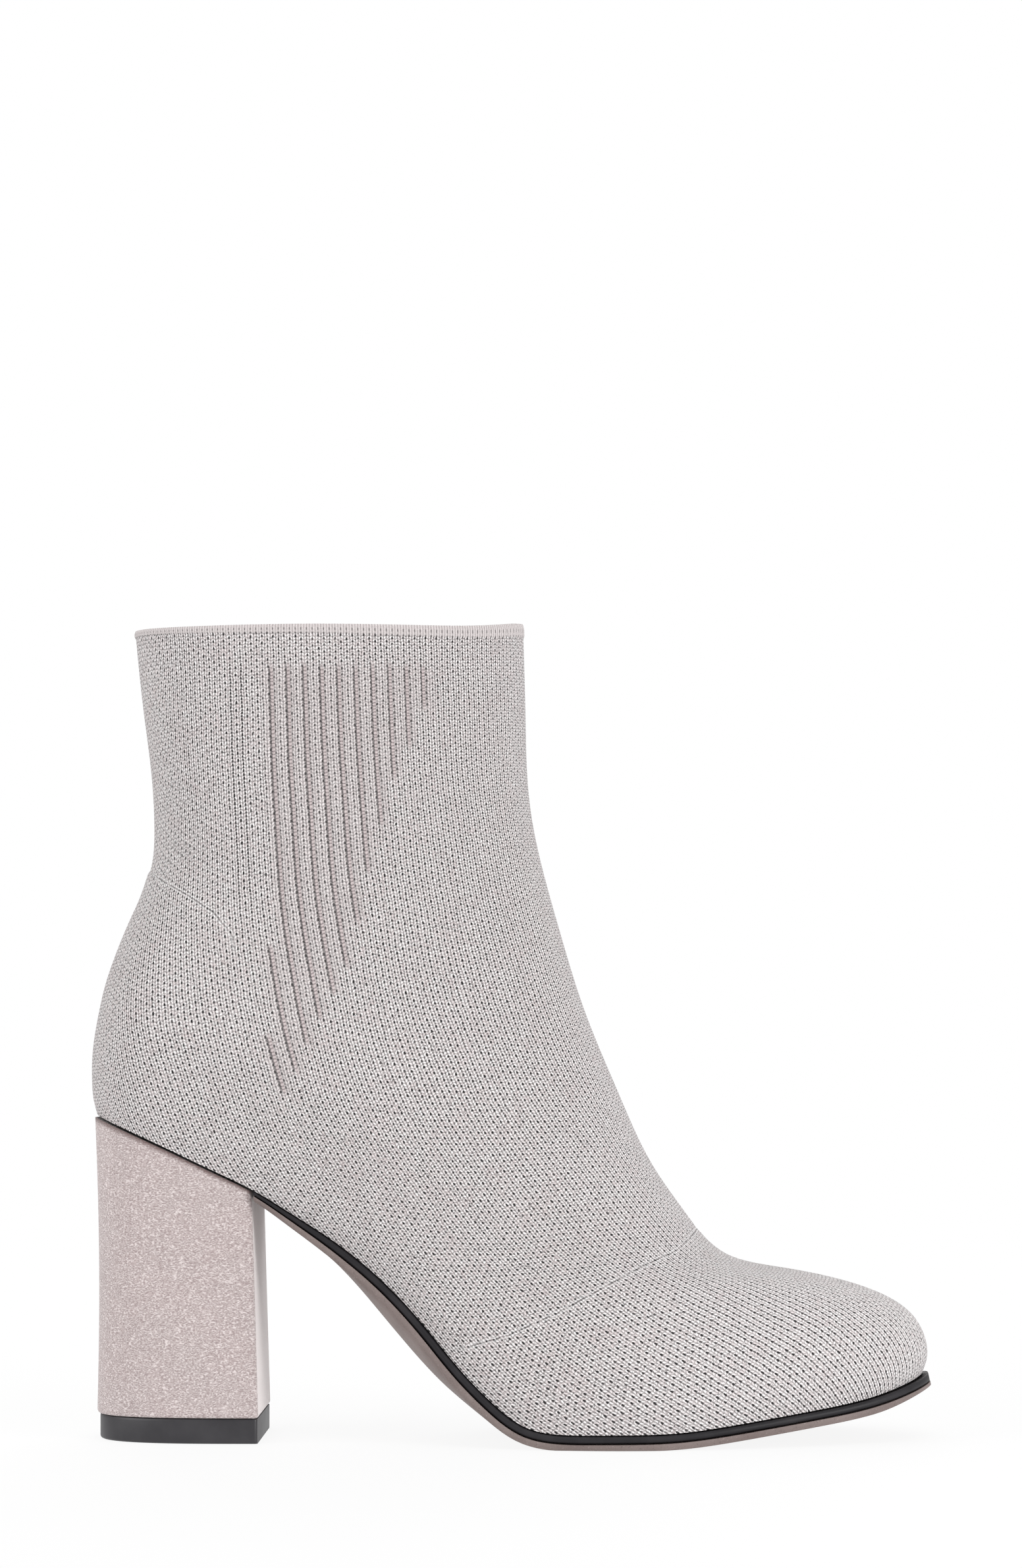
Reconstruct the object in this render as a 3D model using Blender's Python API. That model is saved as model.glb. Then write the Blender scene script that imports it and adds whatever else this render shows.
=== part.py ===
"""Knitted block heel ankle boot for the right foot.

+X runs to the toe, +Y to the inner side of the foot and +Z up. The origin is the centre of the
heel's outline on the floor. The upper is lofted through rings that climb from the sole line to
the collar, and the soles through stations that follow the sole line from the heel to the toe.
"""

import bpy
import numpy as np

# Sizes of the last and the shaft, in metres
last_length = 0.2186  # back of the counter to the tip of the toe, along the floor
ball_width = 0.0765  # bottom of the last at the ball
seat_width = 0.0490  # bottom of the last at the heel seat
seat_height = 0.0845  # sole line at the back of the heel seat, above the floor
toe_spring = 0.0127  # rise of the sole line from the ball to the toe
toe_swing = 0.0062  # toe's shift to the inner side
arch_rise = 0.0030  # inner edge of the waist above the outer edge
vamp_height = 0.0312  # sole line at the toe to the foot of the instep
shaft_height = 0.1258  # heel seat to the collar, at the back
collar_rise = 0.0019  # collar's front above its back
collar_dip = 0.0011  # collar's sides below its back
collar_depth = 0.1014  # collar, back to front
collar_width = 0.0620  # collar, side to side
ankle_width = 0.0610  # shaft at the ankle bones, side to side

# Walls, plates and clearances
upper_wall = 0.0018
hem_height = 0.0020  # turned hem of the collar
hem_step = 0.0003  # the hem stands proud of the knit by this much
welt_thickness = 0.0018
welt_margin = 0.0008  # the welt stands out from the upper by this much
outsole_edge = 0.0015  # outsole's thickness at its edge
waist_crown = 0.0047  # extra thickness along the middle of the waist
outsole_bevel = 0.0007  # underside's edge, inside the welt's
outsole_taper = 0.0008  # the outsole is thinner by this much at the toe's tip
tread_seat = 0.0002  # how much of the tread is rubbed flat on the floor
insole_thickness = 0.0022
piece_gap = 0.0003  # between pieces that are glued face to face
insole_clearance = 0.0006  # between the insole's edge and the upper's wall

# Heel
heel_setback = 0.0017  # back of the heel, inside the back of the counter
heel_length = 0.0434  # back of the heel to its breast, at the floor
heel_rake = 0.0016  # breast's top, behind its foot
heel_base_width = 0.0462
heel_waist = 0.0006  # hollow of the heel's sides
heel_round = 3.2  # powers of the heel's outline: the higher, the flatter its back
heel_square = 2.6  # and the straighter its sides
heel_inset = 0.0010  # heel's top edge, inside the sole line
lift_thickness = 0.0063
lift_inset = 0.0007
lift_corner = 0.0008

# Places along the last, as shares of its length
seat_end = 0.15
ball_start = 0.55
waist_middle = 0.40
arch_reach = 0.22  # the arch's rise is gone at this distance from the waist's middle
crown_reach = 0.155
instep_middle = 0.35
instep_reach = 0.27
toe_start = 0.92
toe_tip = 0.9995  # the soles' last station, just short of where their outline closes

sole_thickness = welt_thickness + piece_gap + outsole_edge
last_back = -(heel_setback + heel_length / 2)
breast_foot = heel_length / 2
breast_top = breast_foot - heel_rake

# Counts of points and how they crowd
ring_points = 66  # round the upper
ring_crowding = 0.15  # towards its sides
ring_rows = 24  # from the sole line to the hem
row_crowding = 1.35  # towards the sole line
sole_stations = 40
station_crowding = 0.25  # towards the toe
heel_stations = 12
sole_shares = np.linspace(-1, 1, 9)  # across a sole, from its outer to its inner edge

# Sole line from heel to toe: place along the last, share of the seat's height, share of the spring
sole_line = np.array([
    # along  seat   spring
    (0.000, 1.000, 0.000),
    (0.040, 0.957, 0.000),
    (0.105, 0.880, 0.000),
    (0.155, 0.816, 0.000),
    (0.200, 0.757, 0.000),
    (0.240, 0.692, 0.000),
    (0.295, 0.597, 0.000),
    (0.365, 0.440, 0.000),
    (0.405, 0.322, 0.000),
    (0.440, 0.208, 0.000),
    (0.478, 0.103, 0.000),
    (0.515, 0.028, 0.000),
    (0.550, 0.003, 0.000),
    (0.600, 0.000, 0.000),
    (0.650, 0.000, 0.006),
    (0.700, 0.000, 0.040),
    (0.750, 0.000, 0.140),
    (0.800, 0.000, 0.265),
    (0.860, 0.000, 0.420),
    (0.920, 0.000, 0.600),
    (0.960, 0.000, 0.780),
    (1.000, 0.000, 1.000),
])

# Plan of the sole line: fullness of the outer and inner side, as shares of the local width
plan = np.array([
    # along  outer  inner
    (0.00, 1.030, 1.030),
    (0.05, 0.949, 0.949),
    (0.10, 0.812, 0.802),
    (0.15, 0.702, 0.680),
    (0.20, 0.627, 0.566),
    (0.27, 0.541, 0.410),
    (0.36, 0.486, 0.307),
    (0.455, 0.486, 0.296),
    (0.55, 0.529, 0.358),
    (0.62, 0.569, 0.435),
    (0.69, 0.590, 0.490),
    (0.76, 0.598, 0.516),
    (0.83, 0.604, 0.525),
    (0.90, 0.635, 0.527),
    (0.95, 0.670, 0.535),
    (1.00, 0.700, 0.530),
])

# Rings of the upper, whose level runs from the sole line (0) to the collar (1). back_in and toe are
# shares of the last's length, depth of the collar's depth, up of the shaft's height, vamp of the
# vamp's height and rise of the shaft's front. sag is how much of the sole line's dip a ring keeps.
ring_ends = np.array([
    # level back_in up    toe     depth  vamp   rise   sag
    (0.000, 0.0068, 0.000, 0.9970, 0.000, 0.000, 0.000, 1.000),
    (0.027, 0.0022, 0.033, 1.0030, 0.000, 0.155, 0.000, 0.970),
    (0.058, 0.0007, 0.068, 0.9955, 0.000, 0.370, 0.000, 0.930),
    (0.098, 0.0008, 0.111, 0.9690, 0.000, 0.575, 0.000, 0.880),
    (0.148, 0.0036, 0.159, 0.9140, 0.000, 0.745, 0.000, 0.820),
    (0.205, 0.0086, 0.207, 0.8370, 0.000, 0.865, 0.000, 0.750),
    (0.270, 0.0164, 0.266, 0.7590, 0.000, 1.000, 0.000, 0.660),
    (0.335, 0.0288, 0.330, 0.6960, 0.029, 1.000, 0.068, 0.550),
    (0.410, 0.0477, 0.409, 0.5790, 0.189, 1.000, 0.152, 0.420),
    (0.490, 0.0686, 0.493, 0.4520, 0.384, 1.000, 0.257, 0.300),
    (0.585, 0.0752, 0.584, 0.3030, 0.622, 1.000, 0.381, 0.180),
    (0.690, 0.0722, 0.696, 0.1630, 0.852, 1.000, 0.522, 0.090),
    (0.800, 0.0643, 0.807, 0.0643, 0.996, 1.000, 0.696, 0.040),
    (0.905, 0.0572, 0.910, 0.0572, 0.996, 1.000, 0.854, 0.010),
    (1.000, 0.0522, 1.000, 0.0522, 1.000, 1.000, 1.000, 0.000),
])

# Widths of the same rings. heel and ball scale the plan's width there, and out and in are shares of
# the seat's width that are added at the waist. square is how full the ring's front is. oval is how
# far it has turned into the shaft's oval, whose widest place is crest and whose ends have the
# fullness back_n and front_n.
ring_widths = np.array([
    # level heel  ball   out    in    square oval  crest back_n front_n
    (0.000, 1.000, 1.000, 0.000, 0.000, 2.00, 0.00, 0.42, 2.30, 2.70),
    (0.027, 1.050, 1.030, 0.020, 0.060, 2.00, 0.00, 0.42, 2.30, 2.70),
    (0.058, 1.090, 1.040, 0.036, 0.105, 2.00, 0.00, 0.42, 2.30, 2.70),
    (0.098, 1.125, 1.030, 0.048, 0.140, 2.00, 0.02, 0.42, 2.30, 2.70),
    (0.148, 1.155, 1.010, 0.056, 0.160, 2.05, 0.06, 0.42, 2.30, 2.70),
    (0.205, 1.180, 1.000, 0.058, 0.165, 2.20, 0.13, 0.42, 2.30, 2.80),
    (0.270, 1.190, 1.000, 0.052, 0.155, 2.50, 0.24, 0.42, 2.30, 3.00),
    (0.335, 1.190, 1.000, 0.042, 0.130, 2.90, 0.40, 0.42, 2.30, 3.00),
    (0.410, 1.180, 0.970, 0.028, 0.095, 3.00, 0.60, 0.42, 2.30, 2.90),
    (0.490, 1.160, 0.930, 0.014, 0.055, 2.80, 0.79, 0.43, 2.30, 2.60),
    (0.585, 1.140, 0.900, 0.004, 0.020, 2.50, 0.93, 0.44, 2.20, 2.35),
    (0.690, 1.120, 0.900, 0.000, 0.000, 2.20, 1.00, 0.45, 2.20, 2.15),
    (0.800, 1.100, 0.900, 0.000, 0.000, 2.00, 1.00, 0.46, 2.10, 2.05),
    (0.905, 1.100, 0.900, 0.000, 0.000, 2.00, 1.00, 0.47, 2.00, 1.95),
    (1.000, 1.100, 0.900, 0.000, 0.000, 2.00, 1.00, 0.47, 2.00, 1.95),
])


def spline(knots, values, at):
    """Natural cubic spline through the values at the knots."""
    step = np.diff(knots)
    slope = np.diff(values) / step
    count = len(knots)
    system = np.eye(count)
    right = np.zeros(count)
    for i in range(1, count - 1):
        system[i, i - 1:i + 2] = step[i - 1], 2 * (step[i - 1] + step[i]), step[i]
        right[i] = 6 * (slope[i] - slope[i - 1])
    bend = np.linalg.solve(system, right)
    at = np.clip(at, knots[0], knots[-1])
    i = np.clip(np.searchsorted(knots, at) - 1, 0, count - 2)
    a = (knots[i + 1] - at) / step[i]
    b = 1 - a
    curved = ((a**3 - a) * bend[i] + (b**3 - b) * bend[i + 1]) * step[i]**2 / 6
    return a * values[i] + b * values[i + 1] + curved


def columns(table, at):
    """Splines through the table's columns, over its first one."""
    return [spline(table[:, 0], column, at) for column in table[:, 1:].T]


def ease(value, start, end):
    """0 before start, 1 after end and smooth between."""
    share = np.clip((value - start) / (end - start), 0, 1)
    return share * share * (3 - 2 * share)


def hump(value, centre, reach):
    """A smooth rise to 1 at the centre that is gone at reach from it."""
    return np.cos(np.clip((value - centre) / reach, -1, 1) * np.pi / 2)**2


def sole_height(along):
    """Height of the sole line, which is the welt's top, above the floor."""
    seat, spring = columns(sole_line, along)
    return sole_thickness + seat * (seat_height - sole_thickness) + spring * toe_spring


def sole_slope(along):
    """Rise of the sole line for each metre along the floor."""
    step = 0.002
    rise = sole_height(along + step) - sole_height(along - step)
    return rise / (2 * step * last_length)


def bed_height(along):
    """Height where what stands on the sole line starts, with the gap measured square to it."""
    return sole_height(along) + piece_gap * np.hypot(1, sole_slope(along))


def full_widths(along):
    """Widths of the last's outer and inner side, before its ends are rounded."""
    local = seat_width + (ball_width - seat_width) * ease(along, seat_end, ball_start)
    outer, inner = columns(plan, along)
    return outer * local, inner * local


def round_ends(share, power=2.0):
    """Closes an outline: 0 at share 0 and 1, and 1 in the middle. The power squares the front."""
    from_middle = np.clip(2 * np.abs(share - 0.5), 0, 1)
    power = np.where(share < 0.5, 2.0, power)
    return (1 - from_middle**power)**(1 / power)


def plan_widths(along):
    """Distances of the sole line's outer and inner edge from the last's middle line."""
    outer, inner = full_widths(along)
    return outer * round_ends(along), inner * round_ends(along)


def arch(along):
    """Rise of the inner edge at the waist."""
    return arch_rise * hump(along, waist_middle, arch_reach)


def middle_line(along):
    return toe_swing * along**2


def ring_angles():
    """Angles round the upper, closer together along the sides than at the heel and the toe."""
    turn = np.linspace(0, 2 * np.pi, ring_points, endpoint=False)
    return turn + ring_crowding * np.sin(2 * turn)


def upper_points(levels, angles):
    """Outer surface of the upper, as an array of levels by angles by 3.

    An angle of 0 is the back, pi the front, and the outer side of the foot comes between them.
    """
    level, angle = np.meshgrid(levels, angles, indexing="ij")
    back_in, up, toe, depth, vamp, rise, sag = columns(ring_ends, level)
    heel, ball, fill_out, fill_in, square, oval, crest, back_n, front_n = columns(ring_widths, level)
    along = (1 - np.cos(angle)) / 2
    first, last = ring_ends[0, 1], ring_ends[0, 3]

    back_x = back_in * last_length
    front_x = toe * last_length + depth * collar_depth
    seat_z = bed_height(first)
    toe_z = bed_height(last)
    back_z = seat_z + up * shaft_height
    shaft_front = seat_height + shaft_height + collar_rise - toe_z - vamp_height
    front_z = toe_z + vamp * vamp_height + rise * shaft_front
    x = back_x + along * (front_x - back_x)

    def dip(x):
        place = np.clip(x / last_length, first, last)
        chord = seat_z + (place - first) / (last - first) * (toe_z - seat_z)
        return bed_height(place) - chord

    sole_dip = dip(x) - (1 - along) * dip(back_x) - along * dip(front_x)
    z = back_z + along * (front_z - back_z) + sag * sole_dip

    outer, inner = full_widths(x / last_length)
    swell = heel + (ball - heel) * ease(x / last_length, seat_end, ball_start)
    waist = hump(x / last_length, instep_middle, instep_reach) * seat_width
    low_outer = (outer * swell + fill_out * waist) * round_ends(along, square)
    low_inner = (inner * swell + fill_in * waist) * round_ends(along, square)
    before = along < crest
    reach = np.where(before, crest, 1 - crest)
    power = np.where(before, back_n, front_n)
    share = np.clip(np.abs(along - crest) / reach, 0, 1)
    shaft_width = ankle_width + (collar_width - ankle_width) * ease(level, 0.6, 1.0)
    round_shaft = (1 - share**power)**(1 / power) * shaft_width / 2
    on_outer = angle <= np.pi
    low = np.where(on_outer, low_outer, low_inner)
    width = low + (round_shaft - low) * oval
    middle = middle_line(x / last_length) * (1 - oval)
    y = middle + np.where(on_outer, -width, width)
    lift = np.where(on_outer, 0, arch(x / last_length) * sag * np.abs(np.sin(angle)))
    front_peak = np.clip(-np.cos(angle), 0, 1)**6
    rim = collar_rise * (front_peak - along) - collar_dip * (1 - np.cos(angle)**4)
    z = z + lift + rim * ease(level, 0.75, 1.0)
    return np.stack([x + last_back, y, z], axis=-1)


def surface_normals(grid):
    """Unit normals, facing out, of a grid that is closed round its second direction."""
    round_way = np.roll(grid, -1, axis=1) - np.roll(grid, 1, axis=1)
    up_way = np.gradient(grid, axis=0)
    normal = np.cross(round_way, up_way)
    return normal / np.linalg.norm(normal, axis=2, keepdims=True)


def add_object(name, points, faces, colour, roughness):
    mesh = bpy.data.meshes.new(name)
    mesh.from_pydata([tuple(map(float, p)) for p in points], [], faces)
    mesh.shade_smooth()
    mesh.set_sharp_from_angle(angle=np.radians(38))
    material = bpy.data.materials.new(name)
    material.use_nodes = True
    shader = material.node_tree.nodes["Principled BSDF"]
    shader.inputs["Base Color"].default_value = (*colour, 1)
    shader.inputs["Roughness"].default_value = roughness
    shader.inputs["Metallic"].default_value = 0
    mesh.materials.append(material)
    made = bpy.data.objects.new(name, mesh)
    boot.objects.link(made)
    return made


def add_loft(name, loops, colour, roughness):
    """A solid through closed loops that have the same number of points, capped at both ends.

    The loops run to the toe, and each goes up the outer side and down the inner side.
    """
    points = np.concatenate(loops)
    size = len(loops[0])
    faces = [tuple(range(size))]
    for i in range(len(loops) - 1):
        for j in range(size):
            k = (j + 1) % size
            faces.append((i * size + k, i * size + j, (i + 1) * size + j, (i + 1) * size + k))
    last = (len(loops) - 1) * size
    faces.append(tuple(range(last + size - 1, last - 1, -1)))
    return add_object(name, points, faces, colour, roughness)


def add_upper():
    """Knitted upper: one wall, open at the collar and along the sole line."""
    hem_level = 1 - hem_height / shaft_height
    edge = hem_step / shaft_height
    rows = np.linspace(0, 1, ring_rows)**row_crowding * (hem_level - 2 * edge)
    levels = np.concatenate([rows, [hem_level - edge / 2, hem_level + edge / 2, 1.0]])
    outer = upper_points(levels, ring_angles())
    normal = surface_normals(outer)
    inner = outer - normal * upper_wall
    inner[0, :, 2] = outer[0, :, 2]
    inner[-1, :, 2] = outer[-1, :, 2]
    outer[levels > hem_level] += normal[levels > hem_level] * hem_step

    count = len(levels)
    points = np.concatenate([outer.reshape(-1, 3), inner.reshape(-1, 3)])
    inside = count * ring_points
    faces = []
    for i in range(count - 1):
        for j in range(ring_points):
            k = (j + 1) % ring_points
            a, b = i * ring_points + j, i * ring_points + k
            c, d = b + ring_points, a + ring_points
            faces.append((a, b, c, d))
            faces.append((inside + d, inside + c, inside + b, inside + a))
    top = (count - 1) * ring_points
    for j in range(ring_points):
        k = (j + 1) % ring_points
        faces.append((k, j, inside + j, inside + k))
        faces.append((top + j, top + k, inside + top + k, inside + top + j))
    return add_object("upper", points, faces, (0.60, 0.56, 0.55), 0.9)


def sole_frame(along):
    """Point of the sole line and the way down from it, square to the line but upright at the heel."""
    slope = sole_slope(along)
    upright = np.array([0, -np.hypot(1, slope)])
    square = np.array([slope, -1]) / np.hypot(1, slope)
    turned = ease(along * last_length + last_back, breast_foot, breast_foot + 0.012)
    way = upright + (square - upright) * turned
    return np.array([along * last_length + last_back, sole_height(along)]), way


def sole_places():
    """Places along the last from just before the breast to the toe, closer together at the toe."""
    breast_at_sole = breast_top + heel_rake * (welt_thickness + outsole_edge) / seat_height
    start = (breast_at_sole + 2 * piece_gap - last_back) / last_length
    turn = np.linspace(0, 1, sole_stations)
    turn = turn + station_crowding * (turn - turn**5)
    return start + (toe_tip - start) * turn


def sole_edges(along, margin):
    """y of the outer and inner edge, margin outside the sole line."""
    outer, inner = plan_widths(along)
    middle = middle_line(along)
    return middle - outer - margin, middle + inner + margin


def sole_point(along, y, depth, margin=0.0):
    """A point under the sole line, with the last's length stretched by the margin at the toe."""
    base, way = sole_frame(along)
    x, z = base + way * depth
    x += margin * ease(along, ball_start, 1.0)
    return np.array([x, y, z + arch_tilt(along, y)])


def across(low, high, inset=0.0):
    """y values from the outer to the inner edge, at the shares that all the soles have."""
    return (low + high) / 2 + sole_shares * ((high - low) / 2 - inset)


def add_welt():
    """Black welt: a thin plate whose edge shows all round below the upper."""
    rounding = welt_thickness * 0.25
    loops = []
    for along in sole_places():
        low, high = sole_edges(along, welt_margin)
        section = [(y, welt_thickness) for y in across(low, high, rounding)[::-1]]
        section.append((low, welt_thickness - rounding))
        section += [(y, 0) for y in across(low, high)]
        section.append((high, welt_thickness - rounding))
        loops.append([sole_point(along, y, depth, welt_margin) for y, depth in section])
    return add_loft("welt", loops, (0.012, 0.011, 0.013), 0.45)


def add_outsole():
    """Outsole: flat on the floor under the ball and crowned along the waist."""
    top = welt_thickness + piece_gap
    loops = []
    for along in sole_places():
        low, high = sole_edges(along, welt_margin)
        crown = waist_crown * hump(along, waist_middle, crown_reach)
        bevel = min(outsole_bevel, (high - low) * 0.3)
        edge = outsole_edge - outsole_taper * ease(along, toe_start, 1.0)
        side = top + edge * 0.55
        under = top + edge + tread_seat + crown * (1 - sole_shares**2)
        section = list(zip(across(low, high, bevel)[::-1], under[::-1]))
        section.append((low + bevel * 0.25, side))
        section += [(y, top) for y in across(low, high)]
        section.append((high - bevel * 0.25, side))
        loop = [sole_point(along, y, depth, welt_margin) for y, depth in section]
        for point in loop:
            point[2] = max(point[2], 0.0)
        loops.append(loop)
    return add_loft("outsole", loops, (0.16, 0.125, 0.12), 0.7)


def add_insole():
    """Insole: it fills the upper's open underside, just inside the wall."""
    ring = upper_points([0.0], ring_angles())[0]
    round_way = np.roll(ring, -1, axis=0) - np.roll(ring, 1, axis=0)
    outward = np.stack([round_way[:, 1], -round_way[:, 0], 0 * round_way[:, 0]], axis=1)
    outward /= np.linalg.norm(outward, axis=1, keepdims=True)
    edge = ring - outward * (upper_wall + insole_clearance)
    rim = insole_thickness * 0.25
    loops = []
    for i in range(1, ring_points // 2):
        near, far = edge[i], edge[-i]
        places = near + (sole_shares[:, None] + 1) / 2 * (far - near)
        for place in places:
            along = (place[0] - last_back) / last_length
            place[2] = bed_height(along) + arch_tilt(along, place[1])
        up = np.array([0, 0, insole_thickness])
        low_corner = places[0] + up - (0, 0, rim)
        high_corner = places[-1] + up - (0, 0, rim)
        top = places + up
        top[0, 1] += rim
        top[-1, 1] -= rim
        loops.append([*places[::-1], low_corner, *top, high_corner])
    return add_loft("insole", loops, (0.42, 0.37, 0.34), 0.8)


def arch_tilt(along, y):
    """Rise of the sole's surface above the sole line, across the waist."""
    outer, inner = sole_edges(along, 0)
    return arch(along) * np.clip((y - outer) / (inner - outer), 0, 1)


def heel_outline(share, inset):
    """Half width of the heel at the floor, from its back (0) to its breast (1)."""
    round_back = (1 - (1 - share)**heel_round)**(1 / heel_square)
    return heel_base_width / 2 * round_back - inset


def heel_shares():
    """Shares from the heel's back to its breast, closer together at the rounded back."""
    return 1 - np.cos(np.linspace(0.04, np.pi / 2, heel_stations))


def add_heel():
    """Covered block heel. Its top follows the heel seat, and its breast is flat."""
    foot_z = lift_thickness + piece_gap
    heights = [0.0, 0.03, 0.35, 0.70, 1.0]
    back = last_back + heel_setback
    loops = []
    for share in heel_shares():
        along = (heel_setback + share * (breast_top - back)) / last_length
        outer, inner = plan_widths(along)
        foot = heel_outline(share, 0)
        foot_x = back + share * (breast_foot - back)
        top_x = back + share * (breast_top - back)
        sides = []
        for side, top_y in ((-1, -outer + heel_inset), (1, inner - heel_inset)):
            top_y += middle_line(along)
            seat_z = 2 * sole_height(along) - bed_height(along) + arch_tilt(along, top_y)
            column = []
            for height in heights:
                hollow = heel_waist * np.sin(height * np.pi)
                rounding = lift_corner * (height == 0)
                y = side * (foot - rounding) * (1 - height) + top_y * height - side * hollow
                x = foot_x + (top_x - foot_x) * height + hollow * (1 - share)
                column.append((x, y, foot_z + (seat_z - foot_z) * height))
            sides.append(column)
        loops.append(np.array(sides[0] + sides[1][::-1]))
    return add_loft("heel", loops, (0.58, 0.47, 0.46), 0.95)


def add_heel_lift():
    """Black top piece of the heel, flat on the floor."""
    back = last_back + heel_setback + lift_inset
    front = breast_foot - lift_inset * 0.3
    loops = []
    for share in heel_shares():
        half = heel_outline(share, lift_inset)
        x = back + share * (front - back)
        low_x = x + lift_corner * (1 - share) * 0.6
        loops.append(np.array([
            (low_x, -half + lift_corner * 0.6, 0),
            (x, -half, lift_corner),
            (x, -half, lift_thickness),
            (x, half, lift_thickness),
            (x, half, lift_corner),
            (low_x, half - lift_corner * 0.6, 0),
        ]))
    return add_loft("heel_lift", loops, (0.02, 0.018, 0.02), 0.5)


for old in list(bpy.data.objects):
    bpy.data.objects.remove(old)
boot = bpy.data.collections.new("ankle_boot")
bpy.context.scene.collection.children.link(boot)
add_upper()
add_insole()
add_welt()
add_outsole()
add_heel()
add_heel_lift()
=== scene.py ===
import bpy
import numpy as np
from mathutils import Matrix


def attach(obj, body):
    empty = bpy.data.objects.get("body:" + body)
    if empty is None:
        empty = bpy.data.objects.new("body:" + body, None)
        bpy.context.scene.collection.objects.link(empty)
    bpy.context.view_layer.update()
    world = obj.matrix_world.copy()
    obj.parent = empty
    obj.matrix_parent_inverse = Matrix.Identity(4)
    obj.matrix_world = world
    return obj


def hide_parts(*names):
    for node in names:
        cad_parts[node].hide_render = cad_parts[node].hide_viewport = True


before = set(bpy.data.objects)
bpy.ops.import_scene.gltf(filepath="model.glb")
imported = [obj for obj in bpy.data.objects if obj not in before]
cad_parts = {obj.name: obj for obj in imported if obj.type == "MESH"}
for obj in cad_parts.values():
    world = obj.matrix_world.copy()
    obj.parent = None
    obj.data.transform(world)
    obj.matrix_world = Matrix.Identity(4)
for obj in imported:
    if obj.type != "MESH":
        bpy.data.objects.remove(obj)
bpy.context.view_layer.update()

# Metres throughout. +X runs to the toe, -Y is the outer side of the foot, and the floor is z = 0.

last = {
    "length": 0.2186,
    "back": -0.0234,  # back of the counter
    "ballWidth": 0.0765,
    "seatWidth": 0.0490,
    "seatHeight": 0.0845,
    "toeSpring": 0.0127,
    "toeSwing": 0.0062,
    "archRise": 0.0030,
    "seatEnd": 0.15,  # places along the last, as shares of its length
    "ballStart": 0.55,
    "waistMiddle": 0.40,
    "archReach": 0.22,
    "instepMiddle": 0.35,
    "instepReach": 0.27,
}

soles = {
    "edgeBand": 0.0018,
    "margin": 0.0008,  # the edge band and the outsole stand out from the upper by this much
    "gap": 0.0003,
    "outsole": 0.0015,
    "bandRound": 0.42,
    "breastTaper": (0.18, 0.33),  # shares of the length over which both grow to full thickness
    "breastBand": 0.30,
    "breastOutsole": 0.60,
    "outsoleTaper": 0.0008,  # thinner at the toe's tip
    "taperStart": 0.92,
    "crown": 0.0047,  # extra thickness along the middle of the waist
    "crownReach": 0.155,
    "bevel": 0.0007,
    "treadSeat": 0.0002,
    "insole": 0.0022,
    "toeTip": 0.99985,
    "stations": 150,
}
soleThickness = soles["edgeBand"] + soles["gap"] + soles["outsole"]

upper = {
    "vampHeight": 0.0312,
    "shaftHeight": 0.1258,
    "collarRise": 0.0019,
    "collarDip": 0.0011,
    "collarDepth": 0.1014,
    "collarWidth": 0.0620,
    "ankleWidth": 0.0610,
    "wall": 0.0018,
    "insoleClearance": 0.0001,
    "columns": 520,  # points round the outside
    "rows": 128,
    "innerRows": 16,
    "crowding": 0.12,  # columns closer together along the sides
    "rowCrowding": 1.15,
}

# Sole line: place along the last, share of the seat's height, share of the toe spring
soleLine = np.array([
    (0.000, 1.000, 0.000),
    (0.040, 0.957, 0.000),
    (0.105, 0.880, 0.000),
    (0.155, 0.816, 0.000),
    (0.200, 0.757, 0.000),
    (0.240, 0.692, 0.000),
    (0.295, 0.597, 0.000),
    (0.365, 0.440, 0.000),
    (0.405, 0.322, 0.000),
    (0.440, 0.208, 0.000),
    (0.478, 0.103, 0.000),
    (0.515, 0.028, 0.000),
    (0.550, 0.003, 0.000),
    (0.600, 0.000, 0.000),
    (0.650, 0.000, 0.006),
    (0.700, 0.000, 0.040),
    (0.750, 0.000, 0.140),
    (0.800, 0.000, 0.265),
    (0.860, 0.000, 0.420),
    (0.920, 0.000, 0.600),
    (0.960, 0.000, 0.780),
    (1.000, 0.000, 1.000),
])

# Plan of the sole line: outer and inner side as shares of the local width
solePlan = np.array([
    (0.00, 1.030, 1.030),
    (0.05, 0.949, 0.949),
    (0.10, 0.812, 0.802),
    (0.15, 0.702, 0.680),
    (0.20, 0.627, 0.566),
    (0.27, 0.541, 0.410),
    (0.36, 0.486, 0.307),
    (0.455, 0.486, 0.296),
    (0.55, 0.529, 0.358),
    (0.62, 0.569, 0.435),
    (0.69, 0.590, 0.490),
    (0.76, 0.598, 0.516),
    (0.83, 0.604, 0.525),
    (0.90, 0.635, 0.527),
    (0.95, 0.670, 0.535),
    (1.00, 0.700, 0.530),
])

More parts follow.
